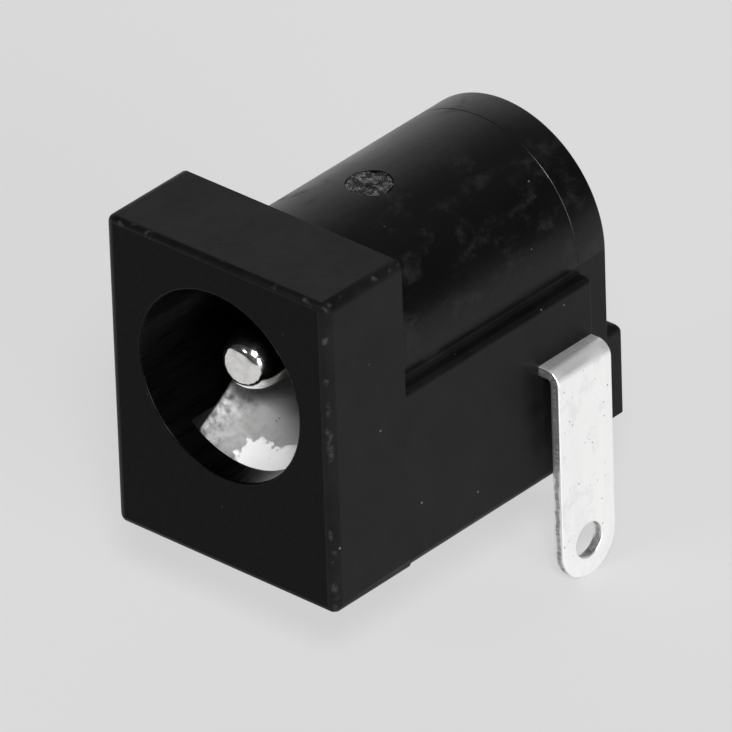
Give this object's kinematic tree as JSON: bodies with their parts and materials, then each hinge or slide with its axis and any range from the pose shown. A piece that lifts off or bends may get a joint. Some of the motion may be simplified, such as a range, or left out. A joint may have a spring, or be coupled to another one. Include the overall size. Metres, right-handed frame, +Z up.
{
  "type": "dc barrel jack",
  "caption": "Right-angle power jack for a circuit board: a moulded housing with a round socket, a centre pin, a spring leaf and solder tags below.",
  "frame": {"origin": "on the board face, under the middle of the front face of the mouth", "axes": "+Y from the mouth to the rear along the socket, +X to the side with the switch tag, +Z up from the board"},
  "size_m": [0.0098, 0.0142, 0.0145],
  "materials": {
    "black_moulding": "fine spark-eroded texture with smooth edges",
    "pin_plating": "turned brass, nickel plated",
    "tag_plating": "stamped brass, bright tin plated",
    "spring_plating": "stamped copper alloy, bright tin plated"
  },
  "bodies": {
    "root": {"housing": "black_moulding", "centre_pin": "pin_plating", "pin_terminal": "tag_plating", "spring_contact": "spring_plating", "switch_contact": "tag_plating"}
  },
  "joints": []
}
